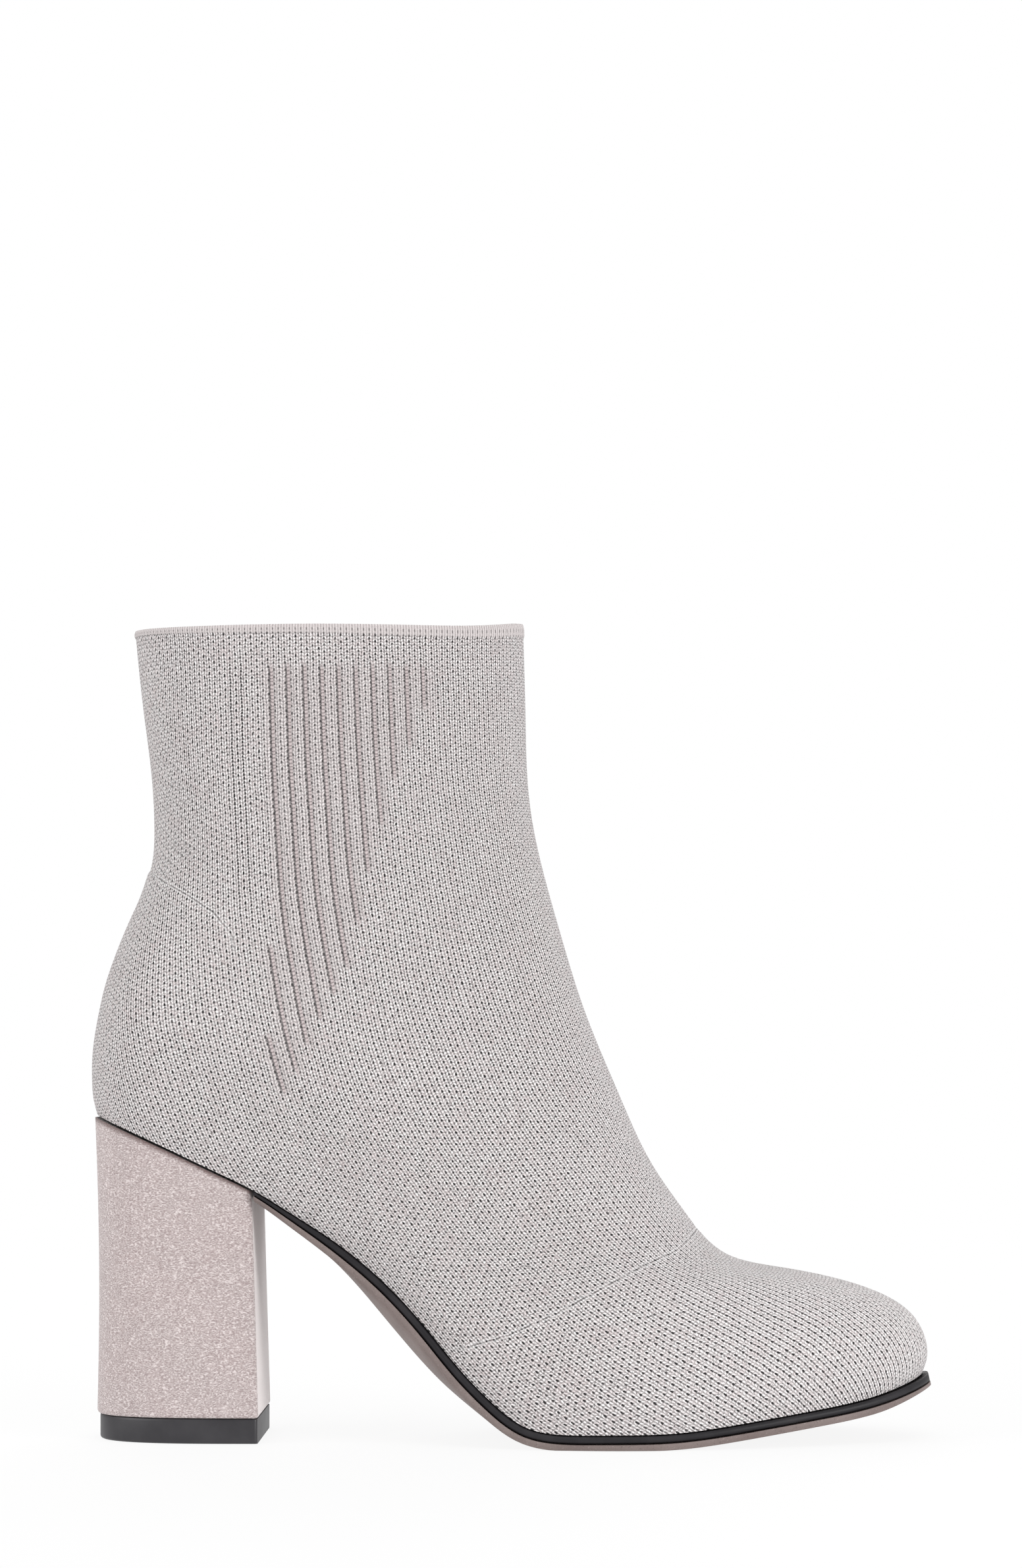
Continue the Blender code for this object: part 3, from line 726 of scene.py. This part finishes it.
def knitFinish():
    f = Finish("knit", Roughness=0.9, Specular_IOR_Level=0.25, Sheen_Weight=0.15, Sheen_Roughness=0.5)
    place = f.place()
    wale = f.attribute("wale")
    course = f.attribute("course")
    rib = f.attribute("rib")
    hem = f.attribute("hem")
    inside = f.attribute("inside")

    # uneven stitches
    sideways = wale + (f.noise(place, 440, 1.0) - 0.5) * 0.32
    downwards = course + (f.noise(place, 520, 1.0) - 0.5) * 0.9

    # a column of stitches is two rows of slanting legs that meet in a V;
    # between the legs the knit opens in small gaps, half a course apart from row to row
    away = abs(sideways.fraction() - 0.5) * 2
    edge = abs(away - 0.5) * 2
    phase = downwards + away * 0.5
    pitch = abs(phase.fraction() - 0.5) * 2
    leg = ((edge * edge) * -0.75 + 1) * ((pitch ** 3) * -0.62 + 1)
    height = leg.largest(0.0)

    # each leg and each gap has its own strength
    lot = f.add("ShaderNodeCombineXYZ", None, {0: (sideways * 2).whole(), 1: phase.whole()})
    chance = f.add("ShaderNodeTexWhiteNoise", {"noise_dimensions": "2D"}, {"Vector": lot})
    gapLot = f.add("ShaderNodeCombineXYZ", None, {0: (sideways * 2 + 0.5).whole(), 1: (phase + 0.5).whole(), 2: 3.0})
    gapChance = f.add("ShaderNodeTexWhiteNoise", {"noise_dimensions": "3D"}, {"Vector": gapLot})
    turns = ((phase + 0.5).whole() * 0.5 + (sideways + 0.5).whole() * 0.5).fraction() * 2
    stretch = f.attribute("stretch")
    outer = away.step(0.35, 0.65)
    wide = edge.step(0.30, 0.56) * pitch.step(-0.02, 0.44) * outer * turns * (gapChance * 0.35 + 0.85)
    small = edge.step(0.52, 0.72) * pitch.step(0.20, 0.52) * (gapChance * 0.55 + 0.22)
    gap = wide.largest(small * (1 - stretch * (1 - outer) * 0.7)).smallest(1.0)
    # painted shade in the openings of the drawn stitches at the toe, in the creases between the legs and between the
    # rows
    drawn = away.step(0.70, 0.90) * pitch.step(-0.15, 0.40) * stretch
    creaseShade = edge.step(0.62, 1.0) * 0.26
    between = pitch.step(0.66, 1.0) * (0.22 - stretch * 0.10)

    strands = f.add("ShaderNodeCombineXYZ", None, {0: sideways * 3.0, 1: phase * 2.6})
    fibre = f.noise(strands, 1.0, 2.0, 0.6)
    fleck = f.noise(place, 2300, 1.0, 0.6)
    cloud = f.noise(place, 160, 2.0, 0.6)
    # painted shade and light: each leg is darker low down and lighter on its crest
    yarn = f.mix(height.step(0.20, 0.85), knit["shade"], knit["light"])
    pinkish = chance.step(0.40, 1.0) * 0.60 + cloud.step(0.45, 0.65) * 0.35
    yarn = f.mix(pinkish.smallest(1.0), yarn, knit["pink"])
    # painted highlight: bright fibres on the crests of the legs
    yarn = f.mix(fibre.step(0.48, 0.62) * height.step(0.35, 0.75) * 0.9, yarn, knit["paintedHighlight"])
    yarn = f.mix(fibre.step(0.48, 0.34) * 0.45, yarn, knit["shade"])
    # the toe is paler: partly its stretched yarn, partly painted light from above
    yarn = f.mix(stretch * 0.14, yarn, knit["paintedHighlight"])
    yarn = f.mix(fleck.step(0.40, 0.28) * 0.70, yarn, knit["gap"])

    # the openings and creases are painted near-black, as shade
    paintedShade = gap.largest(drawn * (gapChance * 0.4 + 0.55)).largest(creaseShade).largest(between)
    colour = f.mix(paintedShade, yarn, knit["gap"])

    # recessed columns show the backs of the stitches as small beads, with painted shade between the beads and a
    # painted shadow along one edge of each column
    ribAcross = ((wale - knit["firstRib"]) / knit["ribEvery"] + 0.5).fraction() - 0.5
    ribSide = ribAcross * knit["ribEvery"] + (fibre - 0.5) * 0.25
    ribAway = abs(ribSide)
    recess = ribAway.step(0.36, 0.24) * rib
    bars = (((downwards.fraction() * np.pi).sine()).largest(0.0) ** 0.6) * ribAway.step(0.44, 0.24)
    barColour = f.mix(bars * (fibre * 0.8 + 0.5).smallest(1.0), knit["recess"], knit["recessBar"])
    colour = f.mix(rib * 0.45, colour, f.mix(paintedShade * 0.8, knit["ribYarn"], knit["gap"]))
    colour = f.mix(recess, colour, barColour)
    shadow = abs(ribSide - 0.34).step(0.22, 0.08) * rib * (fibre.step(0.35, 0.60) * 0.5 + 0.5)
    colour = f.mix(shadow * 0.78, colour, knit["gap"])

    # a column of larger openings runs down from the collar behind the panel, painted near-black as shade
    ladder = f.attribute("ladder")
    everySecond = ((phase + 0.5).whole() * 0.5).fraction() * 2
    rung = edge.step(0.15, 0.45) * pitch.step(0.0, 0.55) * outer * everySecond
    colour = f.mix(ladder * rung * 0.85, colour, knit["gap"])

    # band at the collar: fine upright ribs with a row of dots along it; painted shade in the grooves between the
    # ribs, in the dots and in the row of openings under the band
    underRim = f.attribute("underRim")
    bandAway = abs((wale * 2).fraction() - 0.5) * 2
    atEdge = abs(wale.fraction() - 0.5) * 2
    dot = abs(underRim - 0.55).step(0.20, 0.08) * atEdge.step(0.66, 0.88)
    under = abs(underRim - 1.02).step(0.16, 0.05) * atEdge.step(0.60, 0.85)
    bandYarn = f.mix(fibre.step(0.45, 0.65) * 0.4, knit["band"], knit["light"])
    bandColour = f.mix(bandAway.step(0.60, 1.0) * 0.35, bandYarn, knit["recess"])
    colour = f.mix(hem, colour, bandColour)
    colour = f.mix(dot * hem * 0.60, colour, knit["gap"])
    colour = f.mix(under * 0.70, colour, knit["gap"])

    # turned rows: a fine broken dark line of painted shade in the groove, with a painted highlight on the paler
    # ridge of stitches under it
    heelLine = f.attribute("heelTurn")
    vampLine = f.attribute("vampTurn")
    fade = f.attribute("turnFade")
    nearest = abs(heelLine).smallest(abs(vampLine))
    broken = f.noise(place, 700, 1.0).step(0.40, 0.60)
    line = nearest.step(0.26, 0.08) * fade * (broken * 0.45 + 0.18)
    ridgeHighlight = abs(nearest - 0.42).step(0.25, 0.05) * fade
    colour = f.mix(ridgeHighlight * 0.40, colour, knit["paintedHighlight"])
    colour = f.mix(line, colour, knit["gap"])

    # lining, with painted shade low in its stitches
    liningColour = f.mix(height.step(0.2, 0.9), knit["recess"], knit["lining"])
    colour = f.mix(inside, colour, liningColour)

    relief = height * (1 - recess) + bars * recess * 0.6
    relief = relief * (1 - gap * 0.7)
    relief = relief * (1 - hem) + hem * (1 - bandAway * bandAway * 0.5)
    bumped = f.bump(relief + fibre * 0.15, knit["relief"], 1.0)
    return f.finish(Base_Color=colour, Normal=bumped)


def soleFrame(along):
    # point of the sole line, and the way down from it
    slope = soleSlope(along)
    upright = np.array([0, -np.hypot(1, slope)])
    square = np.array([slope, -1]) / np.hypot(1, slope)
    x = along * last["length"] + last["back"]
    turned = ease(x, heel["breastFoot"], heel["breastFoot"] + 0.012)
    return np.array([x, soleHeight(along)]), upright + (square - upright) * turned


def solePlaces():
    thin = (soles["edgeBand"] + soles["outsole"]) / last["seatHeight"]
    start = heel["breastTop"] + heel["rake"] * thin + 2 * soles["gap"]
    start = (start - last["back"]) / last["length"]
    turn = np.linspace(0, 1, soles["stations"])
    turn = turn + 0.25 * (turn - turn**5)
    return start + (soles["toeTip"] - start) * turn


def soleEdges(along, margin):
    outer, inner = planWidths(along)
    middle = middleLine(along)
    return middle - outer - margin, middle + inner + margin


def archTilt(along, y):
    outer, inner = soleEdges(along, 0)
    return arch(along) * np.clip((y - outer) / (inner - outer), 0, 1)


def solePoint(along, y, depth, margin):
    base, way = soleFrame(along)
    x, z = base + way * depth
    x += margin * ease(along, last["ballStart"], 1.0)
    return np.array([x, y, z + archTilt(along, y)])


def edgeRound(low, high, top, bottom, roundness, count=6):
    # section of a plate with rounded sides: y and depth, from the inner side over the top
    thick = bottom - top
    reach = min(thick * roundness, (high - low) * 0.45)
    turn = np.linspace(0, np.pi, count + 2)[1:-1]
    across = np.linspace(high - reach, low + reach, 12)
    section = [(y, top) for y in across]
    section += [(low + reach - reach * np.sin(t), top + thick * (1 - np.cos(t)) / 2) for t in turn]
    section += [(y, bottom) for y in across[::-1]]
    section += [(high - reach + reach * np.sin(t), bottom - thick * (1 - np.cos(t)) / 2) for t in turn]
    return section


def growth(along):
    # the edge band and the outsole are thin where they meet the heel
    return ease(along, *soles["breastTaper"])


def bandThickness(along):
    return soles["edgeBand"] * (soles["breastBand"] + (1 - soles["breastBand"]) * growth(along))


def makeEdgeBand():
    loops = []
    for along in solePlaces():
        low, high = soleEdges(along, soles["margin"])
        section = edgeRound(low, high, 0.0, bandThickness(along), soles["bandRound"])
        loops.append([solePoint(along, y, depth, soles["margin"]) for y, depth in section])
    points = np.concatenate(loops)
    f = Finish("blackEdge", Roughness=0.5, Specular_IOR_Level=0.28)
    place = f.place()
    scuff = f.noise(place, 90, 3.0, 0.6)
    fine = f.noise(place, 1400, 2.0)
    colour = f.mix(scuff.step(0.35, 0.8), (0.009, 0.008, 0.010), (0.022, 0.020, 0.023))
    material = f.finish(Base_Color=colour, Roughness=scuff * 0.25 + 0.40, Normal=f.bump(fine, 0.00003, 0.6))
    piece = smoothObject("edge_band", points, loftFaces(len(loops), len(loops[0])), material)
    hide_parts("welt")
    print("edge band made")


def makeOutsole():
    shares = np.linspace(-1, 1, 15)
    loops = []
    for along in solePlaces():
        low, high = soleEdges(along, soles["margin"])
        crown = soles["crown"] * hump(along, last["waistMiddle"], soles["crownReach"])
        top = bandThickness(along) + soles["gap"]
        edge = soles["outsole"] * (soles["breastOutsole"] + (1 - soles["breastOutsole"]) * growth(along))
        edge -= soles["outsoleTaper"] * ease(along, soles["taperStart"], 1.0)
        bevel = min(soles["bevel"], (high - low) * 0.3)
        half, middle = (high - low) / 2, (low + high) / 2
        section = [(middle - s * half, top) for s in shares]
        section += [(low + bevel * 0.10, top + edge * 0.35), (low + bevel * 0.35, top + edge * 0.75)]
        under = top + edge + soles["treadSeat"] + crown * (1 - shares**2)
        section += [(middle + s * (half - bevel), u) for s, u in zip(shares, under)]
        section += [(high - bevel * 0.35, top + edge * 0.75), (high - bevel * 0.10, top + edge * 0.35)]
        loop = np.array([solePoint(along, y, depth, soles["margin"]) for y, depth in section])
        loop[:, 2] = np.maximum(loop[:, 2], 0)
        loops.append(loop)
    points = np.concatenate(loops)
    f = Finish("taupeSole", Roughness=0.62, Specular_IOR_Level=0.35)
    place = f.place()
    cloud = f.noise(place, 60, 3.0, 0.6)
    speck = f.noise(place, 2200, 2.0, 0.6)
    colour = f.mix(cloud.step(0.3, 0.75), (0.155, 0.120, 0.112), (0.215, 0.172, 0.162))
    colour = f.mix(speck.step(0.60, 0.75) * 0.5, colour, (0.34, 0.29, 0.28))
    colour = f.mix(speck.step(0.40, 0.28) * 0.5, colour, (0.07, 0.055, 0.052))
    material = f.finish(Base_Color=colour, Roughness=cloud * 0.2 + 0.5, Normal=f.bump(speck, 0.00004, 0.7))
    piece = smoothObject("taupe_outsole", points, loftFaces(len(loops), len(loops[0])), material)
    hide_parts("outsole")
    print("outsole made")


def makeInsole():
    angles = np.linspace(0, 2 * np.pi, 240, endpoint=False)
    ring = upperPoints([0.0], angles)[0]
    roundWay = np.roll(ring, -1, axis=0) - np.roll(ring, 1, axis=0)
    out = np.stack([roundWay[:, 1], -roundWay[:, 0], 0 * roundWay[:, 0]], axis=1)
    out /= np.linalg.norm(out, axis=1, keepdims=True)
    edge = ring - out * (upper["wall"] + upper["insoleClearance"])
    shares = np.linspace(0, 1, 15)
    loops = []
    for i in range(1, 120):
        near, far = edge[i], edge[-i]
        bottom = near + shares[:, None] * (far - near)
        along = (bottom[:, 0] - last["back"]) / last["length"]
        tilt = [archTilt(a, y) for a, y in zip(along, bottom[:, 1])]
        bottom[:, 2] = bedHeight(along) + np.array(tilt)
        thick = soles["insole"] * np.sqrt(np.clip(1 - np.abs(2 * shares - 1)**9, 0.08, 1))
        top = bottom + np.stack([0 * thick, 0 * thick, thick], axis=1)
        loops.append(np.concatenate([bottom[::-1], top]))
    points = np.concatenate(loops)
    f = Finish("insoleLining", Roughness=0.85, Sheen_Weight=0.1)
    place = f.place()
    weave = f.noise(place, 1600, 2.0, 0.6)
    worn = f.noise(place, 40, 3.0)
    colour = f.mix(worn.step(0.3, 0.7), (0.36, 0.315, 0.295), (0.45, 0.40, 0.375))
    colour = f.mix(weave.step(0.55, 0.75) * 0.4, colour, (0.62, 0.57, 0.54))
    material = f.finish(Base_Color=colour, Normal=f.bump(weave, 0.0001, 0.7))
    piece = smoothObject("sock_lining", points, loftFaces(len(loops), len(loops[0])), material)
    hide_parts("insole")
    print("insole made")


heel = {
    "setback": 0.0017,
    "length": 0.0434,
    "rake": 0.0016,
    "baseWidth": 0.0462,
    "hollow": 0.0006,
    "round": 3.2,
    "square": 2.6,
    "inset": 0.0010,  # top edge inside the sole line
    "corner": 0.0013,  # rounding of the covered breast's edges
    "breastFoot": 0.0217,
    "breastTop": 0.0201,
    "suede": (0.48, 0.402, 0.396),
    "suedeLight": (0.66, 0.590, 0.582),
    "suedeDark": (0.31, 0.250, 0.247),
    "breastPaintedLight": (0.92, 0.86, 0.85),  # painted light: the breast is made paler, standing in for the light that falls on it from the toe side
}

lift = {
    "thickness": 0.0063,
    "inset": 0.0007,
    "corner": 0.0008,
}


def heelHalf(share, inset):
    return heel["baseWidth"] / 2 * (1 - (1 - share)**heel["round"])**(1 / heel["square"]) - inset


def cornerIn(share, length, radius):
    # how far a side is drawn in where it rounds into the breast
    back = np.clip(radius - (1 - share) * length, 0, radius)
    return radius - np.sqrt(radius**2 - back**2)


def heelRing(height, shares, footZ):
    back = last["back"] + heel["setback"]
    length = heel["breastFoot"] - back
    sides = []
    for side in (-1, 1):
        points = []
        for share in shares:
            along = (heel["setback"] + share * (heel["breastTop"] - back)) / last["length"]
            outer, inner = planWidths(along)
            topY = middleLine(along) + (-outer + heel["inset"] if side < 0 else inner - heel["inset"])
            seatZ = 2 * soleHeight(along) - bedHeight(along) + archTilt(along, topY)
            hollow = heel["hollow"] * np.sin(height * np.pi)
            y = side * heelHalf(share, 0) * (1 - height) + topY * height
            y -= side * (hollow + cornerIn(share, length, heel["corner"]))
            x = back + share * (heel["breastFoot"] - back) * (1 - height)
            x += share * (heel["breastTop"] - back) * height + hollow * (1 - share)
            points.append((x, y, footZ + (seatZ - footZ) * height))
        sides.append(points)
    return np.array(sides[0] + sides[1][::-1])


def crowdedShares(length, radius):
    # shares from the heel's back to its breast, close together at the rounded back and corner
    body = 1 - np.cos(np.linspace(0.02, np.pi / 2, 40))
    body = body[body < 1 - radius / length]
    turn = np.linspace(0, np.pi / 2, 7)
    corner = 1 - radius / length * (1 - np.sin(turn))
    return np.concatenate([body, corner])


def stackFaces(rings, size):
    # quads between horizontal rings from the floor up, open at the breast's back to front order
    faces = [tuple(range(size - 1, -1, -1))]
    for i in range(rings - 1):
        for j in range(size):
            k = (j + 1) % size
            faces.append((i * size + j, i * size + k, (i + 1) * size + k, (i + 1) * size + j))
    faces.append(tuple(range((rings - 1) * size, rings * size)))
    return faces


def makeHeel():
    length = heel["breastFoot"] - last["back"] - heel["setback"]
    shares = crowdedShares(length, heel["corner"])
    footZ = lift["thickness"] + soles["gap"]
    heights = np.concatenate([[0.0, 0.004, 0.010], np.linspace(0.03, 1.0, 26)])
    rings = [heelRing(h, shares, footZ) for h in heights]
    middle = rings[0].mean(axis=0)
    for ring, draw in zip(rings[:3], (0.0006, 0.0002, 0.0)):
        out = ring[:, :2] - middle[:2]
        ring[:, :2] -= out / np.linalg.norm(out, axis=1, keepdims=True) * draw
    points = np.concatenate(rings)
    f = Finish("suedeCover", Roughness=0.95, Specular_IOR_Level=0.15, Sheen_Weight=0.35, Sheen_Roughness=0.45)
    place = f.place()
    swirl = f.noise(place, 320, 1.0, output="Color")
    bent = f.add("ShaderNodeVectorMath", {"operation": "MULTIPLY_ADD"}, {0: swirl, 1: (0.0014, 0.0014, 0.0014), 2: place})
    stretched = f.add("ShaderNodeVectorMath", {"operation": "MULTIPLY"}, {0: bent, 1: (1.0, 1.0, 2.0)})
    nap = f.noise(stretched, 1750, 1.0, 0.5)
    wrinkle = abs(nap - 0.5).step(0.0, 0.10)
    cloud = f.noise(place, 70, 2.0)
    colour = f.mix(cloud.step(0.3, 0.7) * 0.5, heel["suede"], (0.46, 0.403, 0.396))
    colour = f.mix(nap.step(0.50, 0.66) * 0.95, colour, heel["suedeLight"])
    colour = f.mix(nap.step(0.48, 0.32) * 0.90, colour, heel["suedeDark"])
    # painted light: the covered breast is paler, as if lit from the toe side
    colour = f.mix(f.attribute("breast") * 0.75, colour, heel["breastPaintedLight"])
    top = f.attribute("seam")
    colour = f.mix(top.step(0.35, 1.0) * 0.85, colour, (0.10, 0.055, 0.05))
    material = f.finish(Base_Color=colour, Normal=f.bump(nap * 0.7 + wrinkle * 0.3, 0.00022, 0.8))
    piece = smoothObject("covered_heel", points, stackFaces(len(rings), len(rings[0])), material)
    seam = np.repeat([0.0] * (len(heights) - 1) + [1.0], len(rings[0]))
    breast = np.tile(np.concatenate([shares == 1, shares[::-1] == 1]), len(heights))
    for name, values in (("seam", seam), ("breast", breast)):
        layer = piece.data.attributes.new(name, "FLOAT", "POINT")
        layer.data.foreach_set("value", values.astype(np.float32))
    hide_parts("heel")
    print("heel made")


def makeLift():
    back = last["back"] + heel["setback"] + lift["inset"]
    front = heel["breastFoot"] - lift["inset"] * 0.3
    shares = crowdedShares(front - back, 0.0009)
    heights = [(0.0, 1.0), (0.10, 0.45), (0.25, 0.12), (0.42, 0.0), (0.9, 0.0), (0.96, 0.06), (1.0, 0.25)]
    rings = []
    for height, draw in heights:
        half = heelHalf(shares, lift["inset"]) - cornerIn(shares, front - back, 0.0009)
        half = half - draw * lift["corner"] * 0.6
        x = back + shares * (front - back) + draw * lift["corner"] * 0.6 * (1 - shares)
        z = np.full(len(shares), height * (lift["corner"] * 2 if height < 0.5 else lift["thickness"]))
        if height >= 0.5:
            z[:] = lift["thickness"] * height
        outer = np.stack([x, -half, z], axis=1)
        inner = np.stack([x, half, z], axis=1)[::-1]
        rings.append(np.concatenate([outer, inner]))
    points = np.concatenate(rings)
    f = Finish("blackLift", Roughness=0.48, Specular_IOR_Level=0.5)
    place = f.place()
    scuff = f.noise(place, 120, 3.0, 0.6)
    fine = f.noise(place, 1500, 2.0)
    colour = f.mix(scuff.step(0.3, 0.8), (0.016, 0.0145, 0.018), (0.028, 0.026, 0.030))
    material = f.finish(Base_Color=colour, Roughness=scuff * 0.2 + 0.36, Normal=f.bump(fine, 0.00003, 0.6))
    piece = smoothObject("heel_top_piece", points, stackFaces(len(rings), len(rings[0])), material)
    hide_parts("heel_lift")
    print("heel lift made")


studio = {
    "floor": (0.80, 0.80, 0.80),
    "ownGlow": 0.88,  # the floor is lit from below, like a light table
    "fadeStart": 0.25,
    "fadeEnd": 1.1,
    "sky": 0.60,  # light from all round
    "shown": 1.0,  # how bright the room looks behind the boot
    "toeSide": 4.6,
    "heelSide": 9.6,
    "rear": 9.0,
    "top": 4.0,
    "breast": 3.5,  # a low one that reaches under the waist
}

camera = {
    "place": (0.0944, -1.0, 0.099),
    "focalPixels": 5797,
    "imageWidth": 1552,
    "imageHeight": 2380,
    "levelPoint": (823, 1605),  # pixel that the level line of sight goes through
    "sensor": 36.0,
}


def floorFinish():
    # a pale floor that runs out into the white room
    f = Finish("paleFloor", Roughness=0.7, Specular_IOR_Level=0.2)
    f.finish(Base_Color=studio["floor"])
    away = f.add("ShaderNodeVectorMath", {"operation": "LENGTH"}, {0: f.place()}, 1)
    glow = f.add("ShaderNodeEmission", None, {"Color": (1.0, 1.0, 1.0), "Strength": studio["shown"]})
    faded = away.step(studio["fadeStart"], studio["fadeEnd"]) * (1 - studio["ownGlow"]) + studio["ownGlow"]
    both = f.add("ShaderNodeMixShader", None, {0: faded, 1: Wire(f, f.shader.outputs[0]), 2: glow})
    f.tree.links.new(both.socket, f.tree.nodes["Material Output"].inputs["Surface"])
    return f.material


def makeStudio():
    scene = bpy.context.scene
    scene.view_settings.view_transform = "Standard"
    world = bpy.data.worlds.new("paleRoom")
    scene.world = world
    world.use_nodes = True
    room = world.node_tree
    lit = room.nodes["Background"]
    lit.inputs["Color"].default_value = (1.0, 1.0, 1.0, 1)
    lit.inputs["Strength"].default_value = studio["sky"]
    shown = room.nodes.new("ShaderNodeBackground")
    shown.inputs["Color"].default_value = (1.0, 1.0, 1.0, 1)
    shown.inputs["Strength"].default_value = studio["shown"]
    seen = room.nodes.new("ShaderNodeLightPath")
    both = room.nodes.new("ShaderNodeMixShader")
    room.links.new(seen.outputs["Is Camera Ray"], both.inputs[0])
    room.links.new(lit.outputs[0], both.inputs[1])
    room.links.new(shown.outputs[0], both.inputs[2])
    room.links.new(both.outputs[0], room.nodes["World Output"].inputs["Surface"])

    mesh = bpy.data.meshes.new("paleFloor")
    size = 6.0
    mesh.from_pydata([(-size, -size, 0), (size, -size, 0), (size, size, 0), (-size, size, 0)], [], [(0, 1, 2, 3)])
    mesh.materials.append(floorFinish())
    floor = bpy.data.objects.new("paleFloor", mesh)
    scene.collection.objects.link(floor)

    for name, place, aim, size, power in (
        ("toeSideLight", (1.15, -0.85, 0.48), (0.08, 0, 0.1), 0.9, studio["toeSide"]),
        ("heelSideLight", (-1.10, -0.60, 0.55), (0.08, 0, 0.1), 0.9, studio["heelSide"]),
        ("topLight", (0.10, -0.70, 1.50), (0.08, 0, 0.1), 0.9, studio["top"]),
        ("rearLight", (0.10, 1.10, 0.90), (0.08, 0, 0.1), 1.2, studio["rear"]),
        ("breastLight", (0.85, -0.60, 0.20), (0.02, 0, 0.04), 0.3, studio["breast"]),
    ):
        light = bpy.data.lights.new(name, "AREA")
        light.size = size
        light.energy = power
        lamp = bpy.data.objects.new(name, light)
        lamp.location = place
        way = np.array(aim) - np.array(place)
        flat = np.hypot(way[0], way[1])
        lamp.rotation_euler = (np.pi / 2 + np.arctan2(way[2], flat), 0, np.arctan2(-way[0], way[1]))
        scene.collection.objects.link(lamp)
    print("studio made")


def makeCamera():
    lens = bpy.data.cameras.new("camera")
    viewer = bpy.data.objects.new("camera", lens)
    viewer.location = camera["place"]
    viewer.rotation_euler = (np.pi / 2, 0, 0)
    lens.sensor_width = camera["sensor"]
    lens.lens = camera["focalPixels"] / camera["imageHeight"] * camera["sensor"]
    lens.shift_x = (camera["imageWidth"] / 2 - camera["levelPoint"][0]) / camera["imageHeight"]
    lens.shift_y = (camera["levelPoint"][1] - camera["imageHeight"] / 2) / camera["imageHeight"]
    lens.clip_start = 0.01
    lens.clip_end = 30
    bpy.context.scene.collection.objects.link(viewer)
    bpy.context.scene.camera = viewer
    print("camera made")


makeUpper()
makeEdgeBand()
makeOutsole()
makeInsole()
makeHeel()
makeLift()
makeStudio()
makeCamera()
